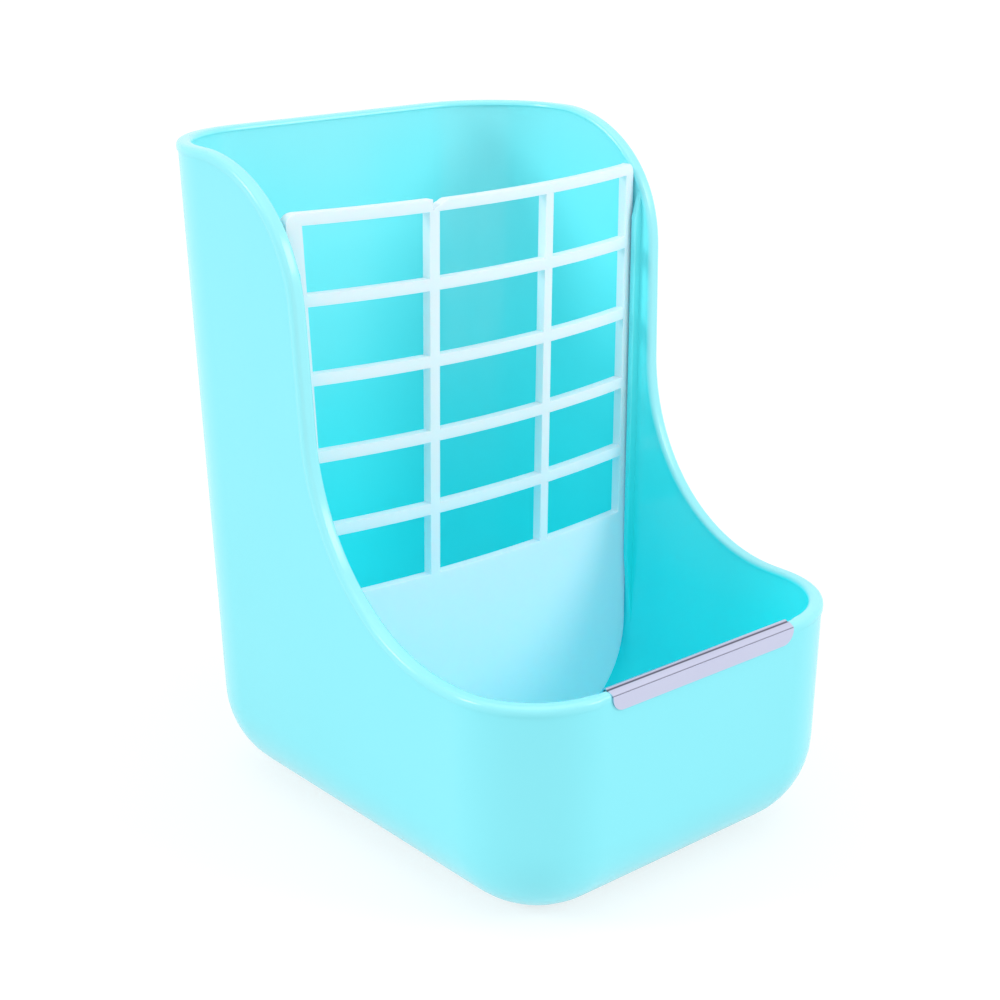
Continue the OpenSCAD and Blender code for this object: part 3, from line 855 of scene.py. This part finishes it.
# %% Helpers for node trees
def mixed_tone(tree, share, low, high):
    """A tone between two others, each of which is a colour or a socket."""
    mix = tree.nodes.new("ShaderNodeMix")
    mix.data_type = "RGBA"
    tree.links.new(share, mix.inputs["Factor"])
    for name, tone in (("A", low), ("B", high)):
        if isinstance(tone, tuple):
            mix.inputs[name].default_value = (*tone, 1)
        else:
            tree.links.new(tone, mix.inputs[name])
    return mix.outputs["Result"]


def combined(tree, operation, first, second):
    """What a Math node makes of two sockets."""
    node = tree.nodes.new("ShaderNodeMath")
    node.operation = operation
    tree.links.new(first, node.inputs[0])
    tree.links.new(second, node.inputs[1])
    return node.outputs["Value"]


def ranged(tree, value, low, high):
    """A value of 0 to 1 that becomes low to high."""
    node = tree.nodes.new("ShaderNodeMapRange")
    node.inputs["To Min"].default_value, node.inputs["To Max"].default_value = low, high
    tree.links.new(value, node.inputs["Value"])
    return node.outputs["Result"]


# %% A helper for finishes
ROUGH_PER_PATCH = 3


def finish(name, low, high, patch, gloss, grain, bump, **constants):
    """A surface whose colour wanders between two tones and whose roughness wanders in a range, with a fine
    bump. Patch and grain are how many spots there are in a metre."""
    material = bpy.data.materials.new(name)
    material.use_nodes = True
    tree = material.node_tree
    nodes, links = tree.nodes, tree.links
    shader = nodes["Principled BSDF"]
    place = nodes.new("ShaderNodeTexCoord").outputs["Object"]

    def noise(scale, detail):
        node = nodes.new("ShaderNodeTexNoise")
        node.inputs["Scale"].default_value = scale
        node.inputs["Detail"].default_value = detail
        links.new(place, node.inputs["Vector"])
        return node.outputs["Fac"]

    links.new(mixed_tone(tree, noise(patch, 2), low, high), shader.inputs["Base Color"])
    links.new(ranged(tree, noise(patch * ROUGH_PER_PATCH, 4), *gloss), shader.inputs["Roughness"])
    dents = nodes.new("ShaderNodeBump")
    dents.inputs["Distance"].default_value = bump
    dents.inputs["Strength"].default_value = 1
    links.new(noise(grain, 3), dents.inputs["Height"])
    links.new(dents.outputs["Normal"], shader.inputs["Normal"])
    for socket, value in constants.items():
        shader.inputs[socket.replace("_", " ")].default_value = value
    return material


# %% The five finishes
aqua = finish("aqua_plastic", (0.235, 0.84, 0.93), (0.25, 0.85, 0.94), 30, (0.18, 0.26), 500, 0.01 * MM,
              IOR=1.5)
milky = finish("milky_plastic", (0.75, 0.90, 0.98), (0.79, 0.91, 0.99), 25, (0.3, 0.4), 600, 0.01 * MM,
               IOR=1.49, Subsurface_Weight=0.5, Subsurface_Radius=(0.5, 1, 1.2), Subsurface_Scale=4 * MM)
steel = finish("satin_steel", (0.57, 0.59, 0.77), (0.62, 0.64, 0.80), 60, (0.3, 0.38), 2000, 0.003 * MM,
               Metallic=1)
zinc = finish("zinc_steel", (0.55, 0.56, 0.58), (0.66, 0.66, 0.66), 300, (0.25, 0.42), 3000, 0.003 * MM,
              Metallic=1)
white = finish("white_plastic", (0.80, 0.81, 0.81), (0.84, 0.84, 0.83), 60, (0.35, 0.45), 900, 0.01 * MM)
print("finishes:", ", ".join(material.name for material in (aqua, milky, steel, zinc, white)))

# %% [markdown]
# ### Painted shade, highlight and glow that follow the shape
# The tub's wall is thin. Its inside is painted a deeper, purer aqua than the outside, as painted shade and
# painted aqua bounce light, deepest at the foot and paler towards the top, and the lip is painted paler as a
# painted highlight. The light that comes through the wall keeps the lower inside of the hay rack bright, and
# the plain sheet of the milky grid too. Full translucency would be slow and noisy, so a faint painted glow
# stands for that light.

# %% Helpers for such tones
def mark_skin(material, attribute, tone):
    """Where the attribute is 1, the skin takes the tone. The tones given to it here paint shade and
    highlights.
    """
    tree = material.node_tree
    colour = tree.nodes["Principled BSDF"].inputs["Base Color"]
    marked = tree.nodes.new("ShaderNodeAttribute")
    marked.attribute_name = attribute
    tree.links.new(mixed_tone(tree, marked.outputs["Fac"], colour.links[0].from_socket, tone), colour)
    return marked.outputs["Fac"]


def along_axis(material, axis, start, end, low=0):
    """A value that runs from low to 1 between two places along an axis."""
    tree = material.node_tree
    place = tree.nodes.new("ShaderNodeSeparateXYZ")
    ramp = tree.nodes.new("ShaderNodeMapRange")
    tree.links.new(tree.nodes["Texture Coordinate"].outputs["Object"], place.inputs["Vector"])
    tree.links.new(place.outputs[axis], ramp.inputs["Value"])
    ramp.inputs["From Min"].default_value, ramp.inputs["From Max"].default_value = start, end
    ramp.inputs["To Min"].default_value = low
    return ramp.outputs["Result"]


def let_glow(material, colour, strength):
    shader = material.node_tree.nodes["Principled BSDF"]
    shader.inputs["Emission Color"].default_value = (*colour, 1)
    material.node_tree.links.new(strength, shader.inputs["Emission Strength"])


# %% The tub's inside and lip
DEEP_Z, PALE_Z, RACK_FRONT, RACK_DEEP = 50 * MM, 175 * MM, 0, 30 * MM
# Painted shade and painted bounce light on the inner skin: a deeper, purer aqua, deepest at the foot and
# paler towards the top
upwards = along_axis(aqua, "Z", DEEP_Z, PALE_Z)
painted_inner_shade = mixed_tone(aqua.node_tree, upwards, (0.026, 0.94, 0.985), (0.28, 0.93, 0.99))
inside = mark_skin(aqua, "shaded_inner_skin", painted_inner_shade)
# A painted highlight: the lip is paler than the wall
mark_skin(aqua, "highlit_lip_skin", (0.33, 0.88, 0.95))
# Painted light: a faint glow on the lower inside of the hay rack stands for light that comes through the wall
in_rack = along_axis(aqua, "Y", RACK_FRONT, RACK_DEEP)
downwards = along_axis(aqua, "Z", PALE_Z, DEEP_Z)
low_in_rack = combined(aqua.node_tree, "MULTIPLY", in_rack, downwards)
let_glow(aqua, (0.008, 0.055, 0.05), combined(aqua.node_tree, "MULTIPLY", low_in_rack, inside))
print("the tub has", len(aqua.node_tree.nodes), "nodes in its finish")

# %% The grid's sheet and the guard's scored lines
BARS_Z, SHEET_Z, BAR_GLOW = 100 * MM, 55 * MM, 0.25
# Painted light: the whole grid glows faintly, its plain sheet most, for the light that comes through it
let_glow(milky, (0.06, 0.075, 0.125), along_axis(milky, "Z", BARS_Z, SHEET_Z, BAR_GLOW))
# Painted shade in the guard's scored lines
mark_skin(steel, "painted_crease_shade", (0.04, 0.03, 0.06))
print("the grid has", len(milky.node_tree.nodes), "nodes and the guard", len(steel.node_tree.nodes))

# %% Give each piece its finish
coats = [
    (aqua, [tub]),
    (milky, [grid]),
    (steel, [guard]),
    (zinc, [left_stud, right_stud, left_nut, right_nut]),
    (white, [left_disc, right_disc]),
]
for material, pieces in coats:
    for piece in pieces:
        piece.data.materials.clear()
        piece.data.materials.append(material)
        print(piece.name, "is", material.name)

# %% [markdown]
# ## The room
# The photograph is cut out on white. A wide pale floor and a white world give that ground. Suns light it
# evenly all over. What the camera and reflections see of the floor is partly its lit surface, so that the
# shadow stays, and partly plain white.

# %% World
world = bpy.data.worlds.new("studio")
bpy.context.scene.world = world
world.use_nodes = True


def seen_directly(tree):
    """1 for camera, glossy and transmitted rays, and 0 for the rays that light things."""
    rays = tree.nodes.new("ShaderNodeLightPath").outputs
    either = combined(tree, "MAXIMUM", rays["Is Camera Ray"], rays["Is Glossy Ray"])
    return combined(tree, "MAXIMUM", either, rays["Is Transmission Ray"])


AMBIENT, SEEN = 0.66, 1
sky = world.node_tree
sky.links.new(ranged(sky, seen_directly(sky), AMBIENT, SEEN), sky.nodes["Background"].inputs["Strength"])
sky.nodes["Background"].inputs["Color"].default_value = (1, 1, 1, 1)
print("the sky lights things at", AMBIENT, "and is seen at", SEEN)

# %% Floor
FLOOR_SIZE, FLOOR_GREY, FLOOR_GLOW, GLOW_SHARE = 40, 0.9, 1.15, 0.62
bpy.ops.mesh.primitive_plane_add(size=FLOOR_SIZE, location=(0, 0, 0))
floor = take("studio_floor")
paint = bpy.data.materials.new("floor_paint")
paint.use_nodes = True
tree = paint.node_tree
matt = tree.nodes["Principled BSDF"]
matt.inputs["Base Color"].default_value = (FLOOR_GREY, FLOOR_GREY, FLOOR_GREY, 1)
matt.inputs["Roughness"].default_value = 1
matt.inputs["Specular IOR Level"].default_value = 0
glow = tree.nodes.new("ShaderNodeEmission")
glow.inputs["Strength"].default_value = FLOOR_GLOW
mixed = tree.nodes.new("ShaderNodeMixShader")
tree.links.new(ranged(tree, seen_directly(tree), 0, GLOW_SHARE), mixed.inputs["Fac"])
tree.links.new(matt.outputs["BSDF"], mixed.inputs[1])
tree.links.new(glow.outputs["Emission"], mixed.inputs[2])
tree.links.new(mixed.outputs["Shader"], tree.nodes["Material Output"].inputs["Surface"])
floor.data.materials.append(paint)
print("floor", FLOOR_SIZE, "metres wide")

# %% Lamps
def sun(name, towards, strength, softness):
    """A distant lamp, so that near and far are lit alike. Softness is its width in degrees."""
    bpy.ops.object.light_add(type="SUN", location=(0, 0, 1))
    light = bpy.context.view_layer.objects.active
    light.name = light.data.name = name
    light.data.energy = strength
    light.data.angle = math.radians(softness)
    light.rotation_euler = Vector(towards).to_track_quat("Z", "Y").to_euler()
    return light


suns = [
    sun("front_right", (0.5, -0.75, 0.5), 0.9, 25),
    sun("left_back", (-0.8, 0.4, 0.5), 0.95, 18),
    sun("top", (0, -0.1, 1), 0.45, 60),
]
print(len(suns), "suns, with a strength of", round(sum(light.data.energy for light in suns), 2), "in all")

# %% [markdown]
# ## The camera
# The camera stands at the front left, a little above the tub, where the photograph was taken. Its place and
# lens come from lining the CAD model's rim, foot and grid up with the photograph.

# %% Camera
AZIMUTH, ELEVATION, ROLL = math.radians(-40.238), math.radians(19.345), math.radians(-0.2434)
DISTANCE, LENS, SENSOR_W, SHIFT_X, SHIFT_Y = 501.72 * MM, 67.445, 36, -0.003926, -0.001406
TARGET_Z, TARGET_LEFT, TARGET_DOWN = 90 * MM, 0.674 * MM, 4.596 * MM
back = Vector((math.sin(AZIMUTH) * math.cos(ELEVATION), -math.cos(AZIMUTH) * math.cos(ELEVATION),
               math.sin(ELEVATION)))
right = back.cross(Vector((0, 0, 1))).normalized() * -1
up = back.cross(right)
target = Vector((0, 0, TARGET_Z)) - TARGET_LEFT * right - TARGET_DOWN * up
rolled_right = right * math.cos(ROLL) + up * math.sin(ROLL)
rolled_up = up * math.cos(ROLL) - right * math.sin(ROLL)
bpy.ops.object.camera_add()
camera = bpy.context.view_layer.objects.active
camera.name = "photograph_camera"
turn = Matrix((rolled_right, rolled_up, back)).transposed().to_4x4()
camera.matrix_world = Matrix.Translation(target + back * DISTANCE) @ turn
camera.data.lens = LENS
camera.data.sensor_width = SENSOR_W
camera.data.shift_x, camera.data.shift_y = SHIFT_X, SHIFT_Y
bpy.context.scene.camera = camera
bpy.context.scene.view_settings.view_transform = "Standard"
print("camera at", [round(x / MM, 1) for x in camera.matrix_world.translation])
